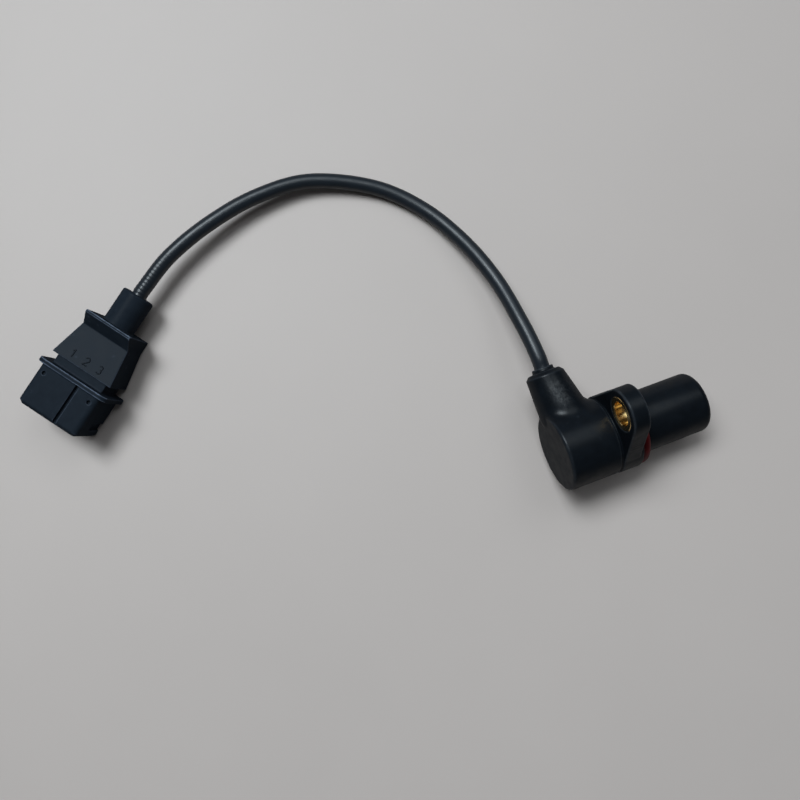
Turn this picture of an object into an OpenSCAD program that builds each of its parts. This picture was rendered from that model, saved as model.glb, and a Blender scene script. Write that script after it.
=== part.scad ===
// Crankshaft position sensor on its cable, lying on a flat surface.
// Millimetres, +Z up from the surface, +X to the side that the nose points to.
// The origin lies on the surface, under the middle of the sensor head's box.

/* [Sensor head] */
// radius of the nose that enters the engine's bore
nose_r = 9; // [8:0.1:11]
// length of the nose in front of the ear's front face
nose_length = 25.2; // [18:0.1:28]
// rounding of the nose's end
nose_round = 2; // [0.5:0.25:3]
// radius of the round part of the flange
flange_r = 11.8; // [11:0.1:14]
// thickness of the flange
flange_thickness = 5; // [4:0.25:7]
// distance from the nose's axis to the bolt's axis
bolt_distance = 18; // [17:0.5:24]
// radius of the ear around the bolt's bush
ear_r = 7.2; // [6.5:0.1:9]
// lean of the ear towards the cable's side, in degrees
ear_lean = 17; // [0:1:30]
// stand-out of the round shoulder in front of the ear
shoulder = 1.2; // [0.6:0.1:2]
// radius of the body behind the flange
body_r = 11.6; // [10.5:0.1:11.7]
// length of the body behind the flange
body_length = 15.8; // [14:0.1:22]
// rounding of the body's rear edge
body_round = 0.8; // [0.4:0.1:1.5]

/* [Bush and ring] */
// outer radius of the metal bush
bush_r = 5; // [4.5:0.1:5.5]
// radius of the hole for the bolt
bolt_hole_r = 3.5; // [3:0.1:4]
// stand-out of the bush in front of the flange
bush_proud = 0.15; // [0.1:0.05:0.4]
// thickness of the sealing ring
ring_section = 2.7; // [2:0.1:2.8]

/* [Cable outlet] */
// distance from the body's rear face to the outlet's axis
outlet_inset = 5.2; // [4.5:0.1:7]
// reach of the outlet from the nose's axis to its mouth
outlet_reach = 22.3; // [20:0.1:26]
// radius of the outlet at its mouth
outlet_r = 5.7; // [5:0.1:6.5]
// radius of the lip around the cable
lip_r = 3.2; // [2.8:0.1:4]
// radius of the cable
cable_r = 2.3; // [1.8:0.1:2.6]

/* [Plug] */
// width of the plug's mating shell
shell_width = 20.2; // [19:0.1:24]
// height of the plug's mating shell
shell_height = 16; // [15:0.5:18]
// length of the plug's mating shell
shell_length = 13.2; // [11:0.1:16]
// wall of the plug's mating shell
shell_wall = 1.7; // [1.4:0.1:2.2]
// distance between neighbouring contact blades
blade_pitch = 5; // [4:0.5:6]
// width of a contact blade
blade_width = 2.8; // [2:0.1:3.2]
// radius of the plug's cable collar
collar_r = 4.9; // [4:0.1:6]

/* [Hidden] */
$fn = 64;

// Resting pose of the head: it lies on the shoulder's lower edge and on the nose's rounded end.
tip_run = nose_length - nose_round - shoulder;
tip_drop = flange_r - nose_r + nose_round;
rest_tilt = atan2(tip_drop, tip_run) - asin(nose_round / norm([tip_run, tip_drop]));
head_at = [-2, -6.45, flange_r * cos(rest_tilt) + shoulder * sin(rest_tilt)];

// Stations along the nose's axis, measured from the ear's front face.
flange_back = -flange_thickness;
rear_face = flange_back - body_length;
outlet_x = rear_face + outlet_inset;
ring_seat_r = nose_r - 0.2;
ring_seat_end = shoulder + ring_section + 0.2;
sleeve_grip = 3;
sleeve_back = flange_back - sleeve_grip;

// Bolt's place in the flange.
bolt_y = bolt_distance * sin(ear_lean);
bolt_z = bolt_distance * cos(ear_lean);

// Hollow for the coil, and what fills it.
cavity_r = nose_r - 1.5;
tip_wall = 1.2;
cavity_front = nose_length - tip_wall;
cavity_rear = rear_face + 3;
pin_r = 2.5;
pin_length = 14;
magnet_r = 4;
magnet_length = 8;
spool_r = 3.4;
spool_rim_r = cavity_r - 0.2;
spool_rim = 0.9;
spool_length = 13;
skirt_r = 5;
winding_r = 6.8;
terminal_offset = 6;
terminal_length = 15;

// Lip and chamfer at the outlet's mouth.
mouth_chamfer = 1.1;
lip_length = 2.4;
outlet_flare = 0.134;
outlet_root = 8.5;

// Cable stations inside the head and inside the plug.
cable_head_end = 8;
cable_plug_end = 32;
lead_r = 0.75;
lead_stub = 0.5;

// Plug: place of the mating face's middle on the surface, and its heading.
plug_at = [-158, 53, 0];
plug_turn = 37;
shell_round = 1.6;
shell_chamfer = 1;
socket_depth = 11.4;
rim_length = 1.4;
rim_reach = 1.7;
rim_top = 0.5;
neck_length = 2.9;
neck_half = 8.5;
neck_low = 1.6;
neck_high = 13.4;
spigot_length = 4.5;
spigot_half = 7;
spigot_low = 4;
spigot_high = 11.4;
block_front = shell_length + rim_length + neck_length;
block_back = block_front + 11.5;
rib_front = block_back + 3.5;
rib_back = rib_front + 0.8;
collar_end = rib_back + 11;
block_half = 10.1;
block_waist = 7.9;
rib_half = 7.6;
block_low = 0.8;
block_top_front = 14.4;
block_top_back = 12.4;
rib_top_z = 16.6;
plug_mid_z = 8.2;
collar_round = 0.7;
chamber_front = block_front + spigot_length;
chamber_back = 31.5;
chamber_half = 6.8;
chamber_low = 5.2;
chamber_high = 11.2;
key_width = 1.3;
key_depth = 0.6;
key_offset = -2.5;
mark_r = 0.65;
mark_depth = 0.5;
mark_inset = 2.3;
notch_front = 2.6;
notch_length = 2.4;
notch_depth = 0.9;
notch_top = 9;
blade_tip = 3.5;
blade_thickness = 0.8;
blade_end = chamber_front + 1.2;
tail_width = 1.4;
tail_length = 2.6;

// Cable's way from the plug to the head, through hand-chosen points.
function head_point(p) =
    let (c = cos(rest_tilt), s = sin(rest_tilt))
    head_at + [p.x * c + p.z * s, p.y, p.z * c - p.x * s];
function plug_point(p) =
    let (c = cos(plug_turn), s = sin(plug_turn))
    plug_at + [p.x * c - p.y * s, p.x * s + p.y * c, p.z];

lip_end = outlet_reach + lip_length;
cable_points = [
    plug_point([cable_plug_end, 0, plug_mid_z]),
    plug_point([collar_end - 4, 0, plug_mid_z]),
    plug_point([collar_end, 0, plug_mid_z]),
    plug_point([collar_end + 3, 0, plug_mid_z]),
    [-110, 88, 8],
    [-96, 93.5, 7],
    [-80, 97, 5.5],
    [-63, 96.5, 4],
    [-45, 88.5, 2.6],
    [-33, 77, 2.6],
    [-25, 63, 4.5],
    [-20, 48, 7],
    [-18, 32, 11.5],
    head_point([outlet_x, lip_end + 4, 0]),
    head_point([outlet_x, lip_end, 0]),
    head_point([outlet_x, lip_end - 6, 0]),
    head_point([outlet_x, cable_head_end, 0])
];

// Smooth way through a list of points, with the ends kept straight.
function bend(a, b, c, d, t) =
    0.5 * (2 * b + (c - a) * t + (2 * a - 5 * b + 4 * c - d) * t * t
    + (3 * b - a - 3 * c + d) * t * t * t);
function smooth(p, steps) = [
    for (i = [0 : len(p) - 2], j = [0 : steps - 1])
        bend(p[max(i - 1, 0)], p[i], p[i + 1], p[min(i + 2, len(p) - 1)], j / steps),
    p[len(p) - 1]
];
function unit(v) = v / norm(v);
function heading(p, i) = unit(p[min(i + 1, len(p) - 1)] - p[max(i - 1, 0)]);
function side_of(v) = unit(cross(v, abs(v.z) > 0.9 ? [1, 0, 0] : [0, 0, 1]));

// Tube along a list of points.
module tube(p, r, sides) {
    n = len(p);
    rings = [
        for (i = [0 : n - 1])
            let (v = heading(p, i), a = side_of(v), b = cross(v, a))
            for (k = [0 : sides - 1])
                p[i] + r * (cos(360 * k / sides) * a + sin(360 * k / sides) * b)
    ];
    walls = [
        for (i = [0 : n - 2], k = [0 : sides - 1])
            let (m = (k + 1) % sides)
            each [
                [i * sides + k, i * sides + m, (i + 1) * sides + m],
                [i * sides + k, (i + 1) * sides + m, (i + 1) * sides + k]
            ]
    ];
    first = [for (k = [sides - 1 : -1 : 0]) k];
    last = [for (k = [0 : sides - 1]) (n - 1) * sides + k];
    polyhedron(points = rings, faces = concat(walls, [first, last]));
}

// Puts a piece drawn about the nose's axis into the resting pose.
module in_head() {
    translate(head_at)
        rotate([0, rest_tilt, 0])
            children();
}

// Puts a piece drawn along the plug's axis onto the surface.
module in_plug() {
    translate(plug_at)
        rotate([0, 0, plug_turn])
            children();
}

// Turns a profile of [radius, station] points about the nose's axis.
module about_nose(profile) {
    rotate([0, 90, 0])
        rotate_extrude()
            polygon(profile);
}

// Round bar along the nose's axis.
module nose_bar(r, from, to) {
    translate([from, 0, 0])
        rotate([0, 90, 0])
            cylinder(r = r, h = to - from);
}

// Round bar across the nose's axis, towards the cable's side.
module outlet_bar(r_from, r_to, from, to) {
    translate([outlet_x, from, 0])
        rotate([-90, 0, 0])
            cylinder(r1 = r_from, r2 = r_to, h = to - from);
}

// Points of a quarter round, from one angle to another.
function arc(x, y, r, from, to) = [
    for (k = [0 : 5])
        let (a = from + (to - from) * k / 5)
        [x + r * cos(a), y + r * sin(a)]
];

// Plate of the flange: the ear around the bolt and the flanks down to the round part.
module ear_plate() {
    spread = acos((flange_r - ear_r) / bolt_distance);
    big = [for (s = [1, -1]) flange_r * [cos(s * spread), sin(s * spread)]];
    small = [for (s = [1, -1]) [bolt_distance, 0] + ear_r * [cos(s * spread), sin(s * spread)]];
    translate([flange_back, 0, 0])
        rotate([90, 0, 90])
            linear_extrude(height = flange_thickness)
                rotate(90 - ear_lean) {
                    translate([bolt_distance, 0])
                        circle(r = ear_r);
                    polygon([[0, 0], big[1], small[1], [bolt_distance, 0], small[0], big[0]]);
                }
}

// Moulded housing: shoulder, flange, body and cable outlet in one piece.
module housing() {
    profile = concat(
        [[0, rear_face]],
        arc(body_r - body_round, rear_face + body_round, body_round, -90, 0),
        [[body_r, flange_back], [flange_r, flange_back], [flange_r, shoulder], [0, shoulder]]
    );
    color("#24292f")
        in_head()
            difference() {
                union() {
                    about_nose(profile);
                    ear_plate();
                    outlet();
                }
                nose_bar(ring_seat_r, sleeve_back, shoulder + 1);
                nose_bar(cavity_r, cavity_rear, shoulder + 1);
                outlet_bar(cable_r, cable_r, 0, lip_end + 1);
                translate([0, bolt_y, bolt_z])
                    nose_bar(bush_r, flange_back - 1, 1);
            }
}

// Nose: a sleeve that is closed in front, with its rear end held in the housing.
module nose_sleeve() {
    profile = concat(
        [[0, sleeve_back], [ring_seat_r, sleeve_back], [ring_seat_r, ring_seat_end],
         [nose_r, ring_seat_end]],
        arc(nose_r - nose_round, nose_length - nose_round, nose_round, 0, 90),
        [[0, nose_length]]
    );
    color("#22272d")
        in_head()
            difference() {
                about_nose(profile);
                nose_bar(cavity_r, sleeve_back - 1, cavity_front);
            }
}

// Cable outlet: it widens towards the flange only, and has a lip at its mouth.
module outlet() {
    growth = outlet_flare * (outlet_reach - outlet_root);
    hull() {
        outlet_bar(outlet_r, outlet_r, outlet_reach - 0.01, outlet_reach);
        translate([growth, 0, 0])
            outlet_bar(outlet_r + growth, outlet_r + growth, outlet_root, outlet_root + 0.01);
    }
    outlet_bar(outlet_r, outlet_r - mouth_chamfer, outlet_reach, outlet_reach + mouth_chamfer);
    outlet_bar(lip_r, lip_r, outlet_reach, lip_end);
}

// Metal bush that takes the bolt's load.
module mounting_bush() {
    color("#c9a24d")
        in_head()
            translate([0, bolt_y, bolt_z])
                difference() {
                    nose_bar(bush_r, flange_back, bush_proud);
                    nose_bar(bolt_hole_r, flange_back - 1, bush_proud + 1);
                }
}

// Sealing ring on the nose, against the shoulder.
module sealing_ring() {
    color("#7c2430")
        in_head()
            translate([shoulder + ring_section / 2, 0, 0])
                rotate([0, 90, 0])
                    rotate_extrude()
                        translate([ring_seat_r + ring_section / 2, 0])
                            circle(r = ring_section / 2);
}

// Soft-iron pin that leads the field to the nose's end.
module pole_pin() {
    color("#8f9296")
        in_head()
            nose_bar(pin_r, cavity_front - pin_length, cavity_front);
}

// Bar magnet behind the pin.
module magnet() {
    color("#6d7075")
        in_head()
            nose_bar(magnet_r, cavity_front - pin_length - magnet_length, cavity_front - pin_length);
}

// Spool of the coil, with a skirt that holds the magnet.
module coil_bobbin() {
    back = cavity_front - spool_length;
    color("#3a3f45")
        in_head()
            difference() {
                union() {
                    nose_bar(spool_r, back, cavity_front);
                    nose_bar(spool_rim_r, back, back + spool_rim);
                    nose_bar(spool_rim_r, cavity_front - spool_rim, cavity_front);
                    nose_bar(skirt_r, back - magnet_length, back);
                }
                nose_bar(pin_r, back - 1, cavity_front + 1);
                nose_bar(magnet_r, back - magnet_length - 1, back - 1);
            }
}

// Copper winding on the spool.
module coil_winding() {
    back = cavity_front - spool_length + spool_rim;
    front = cavity_front - spool_rim;
    color("#a5602f")
        in_head()
            difference() {
                nose_bar(winding_r, back, front);
                nose_bar(spool_r, back - 1, front + 1);
            }
}

// Terminal strip beside the magnet, on one side of the coil.
module coil_terminal(side) {
    back = cavity_front - spool_length;
    color("#b9bcc0")
        in_head()
            translate([back - terminal_length, side * terminal_offset - 0.3, -0.8])
                cube([terminal_length, 0.6, 1.6]);
}

module coil_terminal_1() {
    coil_terminal(1);
}

module coil_terminal_2() {
    coil_terminal(-1);
}

// Insulated lead from a terminal strip to the cable's end.
module head_lead(side) {
    start = cavity_front - spool_length - terminal_length;
    run = start - outlet_x;
    color("#3b3733")
        in_head()
            tube(concat(
                [[start, side * terminal_offset, 0]],
                smooth([
                    [start - lead_stub, side * terminal_offset, 0],
                    [start - 0.35 * run, side * terminal_offset * 0.95, 0.2],
                    [start - 0.7 * run, side * 3.5 + 1, 0.2],
                    [outlet_x + side * 1, cable_head_end - 3, 0],
                    [outlet_x + side * 1, cable_head_end - lead_stub, 0]
                ], 3),
                [[outlet_x + side * 1, cable_head_end, 0]]
            ), lead_r, 8);
}

module head_lead_1() {
    head_lead(1);
}

module head_lead_2() {
    head_lead(-1);
}

// Cable's jacket, from inside the outlet to inside the plug.
module cable_jacket() {
    color("#2b3138")
        tube(smooth(cable_points, 2), cable_r, 12);
}

// Outline of a bar with rounded corners, centred on its middle.
function rounded(w, h, r) = concat(
    arc(w / 2 - r, h / 2 - r, r, 0, 90),
    arc(r - w / 2, h / 2 - r, r, 90, 180),
    arc(r - w / 2, r - h / 2, r, 180, 270),
    arc(w / 2 - r, r - h / 2, r, 270, 360)
);

// Bar along the plug's axis from one station to another, from an outline in width and height.
module plug_bar(outline, from, to, z) {
    translate([from, 0, z])
        rotate([90, 0, 90])
            linear_extrude(height = to - from)
                polygon(outline);
}

// Box along the plug's axis.
module plug_box(half, low, high, from, to) {
    translate([from, -half, low])
        cube([to - from, 2 * half, high - low]);
}

// Mating shell with its rim, its neck and the wall that holds the blades.
module plug_shell() {
    mid = shell_height / 2;
    trim = 2 * shell_chamfer;
    full = rounded(shell_width, shell_height, shell_round);
    small = rounded(shell_width - trim, shell_height - trim, shell_round - 0.6);
    hollow = rounded(shell_width - 2 * shell_wall, shell_height - 2 * shell_wall, 0.8);
    rim_w = shell_width + 2 * rim_reach;
    color("#262c32")
        in_plug()
            difference() {
                union() {
                    hull() {
                        plug_bar(small, 0, 0.01, mid);
                        plug_bar(full, shell_chamfer, shell_length, mid);
                    }
                    plug_bar(rounded(rim_w, shell_height + rim_top, 2.4), shell_length,
                        shell_length + rim_length, mid + rim_top / 2);
                    plug_box(neck_half, neck_low, neck_high, shell_length, block_front);
                    plug_box(spigot_half, spigot_low, spigot_high, block_front, chamber_front);
                }
                plug_bar(hollow, -1, socket_depth, mid);
                translate([-1, key_offset - key_width / 2, shell_height - key_depth])
                    cube([shell_length + 1, key_width, 2]);
                for (s = [1, -1])
                    translate([shell_length - mark_inset, s * (shell_width / 2 - mark_inset),
                        shell_height - mark_depth])
                        cylinder(r = mark_r, h = 2);
                for (m = [0, 1])
                    mirror([0, m, 0])
                        translate([notch_front, shell_width / 2 - notch_depth, -1])
                            cube([notch_length, notch_depth + 1, notch_top + 1]);
                for (k = [-1 : 1])
                    translate([0, k * blade_pitch - blade_width / 2, plug_mid_z - blade_thickness / 2])
                        cube([60, blade_width, blade_thickness]);
            }
}

// Moulding behind the shell: numbered block, rib and cable collar in one piece.
module plug_backshell() {
    side = [[block_front, block_low], [block_back, block_low], [rib_front, 0], [rib_back, 0],
            [rib_back, rib_top_z], [rib_front, rib_top_z], [block_back, block_top_back],
            [block_front, block_top_front]];
    half = [[block_front, block_half], [block_back, block_waist], [rib_front, rib_half],
            [rib_back, rib_half]];
    plan = concat(half, [for (k = [len(half) - 1 : -1 : 0]) [half[k].x, -half[k].y]]);
    color("#272c33")
        in_plug()
            difference() {
                union() {
                    intersection() {
                        translate([0, 20, 0])
                            rotate([90, 0, 0])
                                linear_extrude(height = 40)
                                    polygon(side);
                        linear_extrude(height = 20)
                            polygon(plan);
                    }
                    translate([rib_back, 0, plug_mid_z])
                        cable_collar();
                }
                plug_box(spigot_half, spigot_low, spigot_high, block_front - 1, chamber_front);
                plug_box(chamber_half, chamber_low, chamber_high, block_front, chamber_back);
                translate([block_front, 0, plug_mid_z])
                    nose_bar(cable_r, 0, 60);
            }
}

// Round collar of the plug, with a rounded end.
module cable_collar() {
    reach = collar_end - rib_back;
    about_nose(concat(
        [[0, -0.4], [collar_r, -0.4]],
        arc(collar_r - collar_round, reach - collar_round, collar_round, 0, 90),
        [[0, reach]]
    ));
}

// Contact blade with a narrow tail for its lead.
module blade(k) {
    tip = 0.5;
    w = blade_width / 2;
    t = tail_width / 2;
    tail_end = blade_end + tail_length;
    color("#c7c9cb")
        in_plug()
            translate([0, k * blade_pitch, plug_mid_z - blade_thickness / 2])
                linear_extrude(height = blade_thickness)
                    polygon([[blade_tip, w - tip], [blade_tip + 1, w], [blade_end, w], [blade_end, t],
                             [tail_end, t], [tail_end, -t], [blade_end, -t], [blade_end, -w],
                             [blade_tip + 1, -w], [blade_tip, tip - w]]);
}

module blade_1() {
    blade(1);
}

module blade_2() {
    blade(0);
}

module blade_3() {
    blade(-1);
}

// Lead from a blade's tail to the cable's end.
module plug_lead(k, up, r) {
    start = blade_end + tail_length;
    run = cable_plug_end - start;
    in_plug()
        tube(concat(
            [[start, k * blade_pitch, plug_mid_z]],
            smooth([
                [start + lead_stub, k * blade_pitch, plug_mid_z],
                [start + 0.35 * run, k * blade_pitch * 0.8, plug_mid_z],
                [start + 0.7 * run, k * 1.8, plug_mid_z + 0.6 * up],
                [cable_plug_end - lead_stub, k * 1.2, plug_mid_z + up]
            ], 3),
            [[cable_plug_end, k * 1.2, plug_mid_z + up]]
        ), r, 8);
}

module plug_lead_1() {
    color("#3b3733")
        plug_lead(1, -0.4, lead_r);
}

module plug_lead_2() {
    color("#5a4a3c")
        plug_lead(0, 0.9, lead_r);
}

module plug_drain() {
    color("#b9bcc0")
        plug_lead(-1, -0.4, 0.5);
}

housing();
nose_sleeve();
mounting_bush();
sealing_ring();
pole_pin();
magnet();
coil_bobbin();
coil_winding();
coil_terminal_1();
coil_terminal_2();
head_lead_1();
head_lead_2();
cable_jacket();
plug_shell();
plug_backshell();
blade_1();
blade_2();
blade_3();
plug_lead_1();
plug_lead_2();
plug_drain();
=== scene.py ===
"""Crankshaft position sensor on its cable: meshes, finishes, light and camera around the fixed frame.

Lengths in the classes are millimetres in the sub-assembly's own frame. A Placement turns them into
metres in the shared frame, where every finished piece has its place in its mesh.
"""

from __future__ import annotations

import logging
import math
from dataclasses import dataclass, field
from enum import Enum
from typing import Callable, Iterable, Sequence

import bmesh
import bpy
import numpy as np
from bpy.types import Material, Mesh, Node, NodeSocket, Object
from mathutils import Matrix, Vector

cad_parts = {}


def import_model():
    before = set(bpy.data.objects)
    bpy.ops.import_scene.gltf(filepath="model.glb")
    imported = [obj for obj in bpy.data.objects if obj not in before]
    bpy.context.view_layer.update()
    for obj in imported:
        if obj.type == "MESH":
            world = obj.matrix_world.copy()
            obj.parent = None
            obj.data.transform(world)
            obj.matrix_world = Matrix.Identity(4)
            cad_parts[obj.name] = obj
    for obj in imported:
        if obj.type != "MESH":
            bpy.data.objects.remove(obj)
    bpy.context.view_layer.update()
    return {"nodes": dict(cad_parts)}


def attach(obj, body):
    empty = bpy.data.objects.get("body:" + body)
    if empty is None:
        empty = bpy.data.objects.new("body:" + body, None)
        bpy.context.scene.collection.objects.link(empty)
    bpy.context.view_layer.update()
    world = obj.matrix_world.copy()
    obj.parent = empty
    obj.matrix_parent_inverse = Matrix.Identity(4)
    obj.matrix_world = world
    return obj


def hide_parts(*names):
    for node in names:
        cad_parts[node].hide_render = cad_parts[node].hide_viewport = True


LOG = logging.getLogger("sensor_scene")
MM = 0.001
BODY = "root"

Colour = tuple[float, float, float]
Point = tuple[float, float, float]
Flat = tuple[float, float]
Face = tuple[int, ...]
Shares = Callable[[np.ndarray], np.ndarray]


class Texture(Enum):
    """Working lines that a metal finish carries in its bump, as the stretch of its grain."""

    TURNED = (9.0, 0.6, 0.6)
    DRAWN = (0.5, 0.5, 7.0)


class Edge(Enum):
    """How a mesh's edges are shaded: the angle from which they stay sharp, in degrees."""

    SOFT = 180.0
    CRISP = 32.0


class Source(Enum):
    """Kinds of light: a soft square lamp, or an even light from one side of the sky."""

    LAMP = "AREA"
    SKY = "SUN"


@dataclass(frozen=True)
class Placement:
    """Place of a sub-assembly in the shared frame.

    Attributes:
        at: Origin of the sub-assembly, in millimetres.
        turn: Rotation of the sub-assembly.
    """

    at: Point
    turn: Matrix

    def matrix(self) -> Matrix:
        """Matrix from the sub-assembly's millimetres to the shared frame's metres."""
        return Matrix.Scale(MM, 4) @ Matrix.Translation(self.at) @ self.turn

    def point(self, p: Point) -> Vector:
        """A point of the sub-assembly, in the shared frame's metres."""
        return self.matrix() @ Vector(p)


@dataclass
class Shell:
    """Closed mesh under construction.

    Attributes:
        verts: Corner points, one row each.
        faces: Corner numbers of each face.
    """

    verts: np.ndarray
    faces: list[Face]

    def __add__(self, other: Shell) -> Shell:
        """Puts two meshes into one, side by side or running through each other.

        Args:
            other: The second mesh.

        Returns:
            Both meshes in one.
        """
        shift = len(self.verts)
        moved = [tuple(i + shift for i in f) for f in other.faces]
        return Shell(np.vstack([self.verts, other.verts]), self.faces + moved)

    def moved(self, matrix: Matrix) -> Shell:
        """A copy of the mesh, moved by a matrix."""
        m = np.array(matrix)
        return Shell(self.verts @ m[:3, :3].T + m[:3, 3], self.faces)

    def mesh(self, name: str) -> Mesh:
        """Blender mesh with its faces pointing outwards.

        Args:
            name: Name of the mesh.

        Returns:
            The new mesh.
        """
        made = bpy.data.meshes.new(name)
        made.from_pydata([tuple(v) for v in self.verts], [], self.faces)
        work = bmesh.new()
        work.from_mesh(made)
        bmesh.ops.remove_doubles(work, verts=work.verts, dist=1e-5)
        bmesh.ops.recalc_face_normals(work, faces=work.faces)
        work.to_mesh(made)
        work.free()
        return made


def full_turn(count: int) -> np.ndarray:
    """Angles of a full turn in equal steps, in radians."""
    return np.arange(count) * 2 * math.pi / count


def corner(before: Flat, at: Flat, after: Flat, radius: float, steps: int = 6) -> list[Flat]:
    """Rounds one corner of an outline.

    Args:
        before: Neighbouring corner on one side.
        at: The corner.
        after: Neighbouring corner on the other side.
        radius: Radius of the rounding.
        steps: Number of pieces that the rounding has.

    Returns:
        The points that take the corner's place.
    """
    p, a, b = (np.array(v, float) for v in (at, before, after))
    u, v = (a - p) / np.linalg.norm(a - p), (b - p) / np.linalg.norm(b - p)
    half = math.acos(float(np.clip(u @ v, -1, 1))) / 2
    straight, most = math.pi / 2 - 0.01, 0.49
    if radius <= 0 or half > straight:
        return [at]
    sides = (most * np.linalg.norm(a - p), most * np.linalg.norm(b - p))
    reach = min(radius / math.tan(half), *sides)
    radius = reach * math.tan(half)
    middle = p + (u + v) / np.linalg.norm(u + v) * radius / math.sin(half)
    start, end = p + u * reach - middle, p + v * reach - middle
    sweep = math.pi - 2 * half
    points = []
    for k in range(steps + 1):
        t = k / steps
        w = (math.sin((1 - t) * sweep) * start + math.sin(t * sweep) * end) / math.sin(sweep)
        points.append(tuple(middle + w))
    return points


def rounded(outline: Sequence[Flat], radii: Sequence[float], loop: bool = False) -> list[Flat]:
    """Rounds the corners of an outline.

    Args:
        outline: Corners of the outline, in order.
        radii: Radius at each corner.
        loop: Whether the outline closes on itself; if not, its ends stay as they are.

    Returns:
        The outline's points with its corners rounded.
    """
    n = len(outline)
    points: list[Flat] = []
    for i, (at, r) in enumerate(zip(outline, radii)):
        if not loop and i in (0, n - 1):
            points.append(at)
        else:
            points += corner(outline[i - 1], at, outline[(i + 1) % n], r)
    return points


def lathe(profile: Sequence[Flat], turns: int = 128, loop: bool = False) -> Shell:
    """Turns a profile about the X axis.

    Args:
        profile: (station, radius) points. Where the radius is 0 the ring is one point.
        turns: Number of divisions around the axis.
        loop: Whether the profile closes on itself, as a ring's does.

    Returns:
        The closed mesh.
    """
    verts: list[Point] = []
    rings: list[list[int]] = []
    for x, r in profile:
        if r < 1e-6:
            rings.append([len(verts)] * turns)
            verts.append((x, 0.0, 0.0))
        else:
            rings.append(list(range(len(verts), len(verts) + turns)))
            verts += [(x, r * math.cos(a), r * math.sin(a)) for a in full_turn(turns)]
    pairs = list(zip(rings, rings[1:])) + ([(rings[-1], rings[0])] if loop else [])
    faces: list[Face] = []
    for low, high in pairs:
        for k in range(turns):
            m = (k + 1) % turns
            quad = list(dict.fromkeys([low[k], low[m], high[m], high[k]]))
            if len(quad) > 2:
                faces.append(tuple(quad))
    return Shell(np.array(verts), faces)


def loft(sections: Sequence[np.ndarray], loop: bool = False) -> Shell:
    """Joins sections of equal point counts into a closed mesh.

    Args:
        sections: Rings of points, in order.
        loop: Whether the last section joins the first; if not, both ends are closed by a face.

    Returns:
        The closed mesh.
    """
    n, count = len(sections[0]), len(sections)
    faces: list[Face] = []
    for i in range(count if loop else count - 1):
        a, b = i * n, (i + 1) % count * n
        faces += [(a + k, a + (k + 1) % n, b + (k + 1) % n, b + k) for k in range(n)]
    if not loop:
        faces += [tuple(range(n)), tuple(range((count - 1) * n, count * n))]
    return Shell(np.vstack(sections), faces)


def frame_section(half: float, low: float, high: float, at: float, radius: float) -> np.ndarray:
    """Section of a bar: a rectangle with rounded corners at one station.

    Args:
        half: Half of the width.
        low: Lower edge.
        high: Upper edge.
        at: Station along X.
        radius: Radius of the corners.

    Returns:
        The section's points.
    """
    box = [(half, low), (half, high), (-half, high), (-half, low)]
    points = rounded(box, [max(radius, 0.02)] * 4, loop=True)
    return np.array([(at, w, z) for w, z in points])


def bar(half: float, low: float, high: float, start: float, end: float, radius: float = 0) -> Shell:
    """Straight bar along X, with its half width, heights, ends and the radius of its long edges."""
    return loft([frame_section(half, low, high, s, radius) for s in (start, end)])


class Net:
    """Points and edges of a dense mesh, for values that spread between neighbours."""

    def __init__(self, mesh: Mesh) -> None:
        """Reads the edges.

        Args:
            mesh: The mesh.
        """
        self.mesh = mesh
        ends = np.empty(len(mesh.edges) * 2, dtype=np.int64)
        mesh.edges.foreach_get("vertices", ends)
        self.a, self.b = ends[0::2], ends[1::2]
        self.count = len(mesh.vertices)
        self.share = self.gather(None, None)

    def gather(self, at_a: np.ndarray | None, at_b: np.ndarray | None) -> np.ndarray:
        """Adds up values of the edges at their two ends, or counts the edges without values."""
        return np.bincount(self.a, at_a, self.count) + np.bincount(self.b, at_b, self.count)

    def mean(self, value: np.ndarray) -> np.ndarray:
        """Mean of a value over each point's neighbours."""
        return self.gather(value[self.b], value[self.a]) / self.share

    def read(self, what: str = "co") -> np.ndarray:
        """Reads the points.

        Args:
            what: Blender's name for what is read: co for places, normal for normals.

        Returns:
            The values, one row for each point.
        """
        values = np.empty(self.count * 3)
        self.mesh.vertices.foreach_get(what, values)
        return values.reshape(-1, 3)

    def keep(self, name: str, share: np.ndarray) -> None:
        """Keeps a share from 0 to 1 for each point as an attribute of the mesh."""
        layer = self.mesh.attributes.new(name, "FLOAT", "POINT")
        layer.data.foreach_set("value", share.astype(np.float32))


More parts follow.
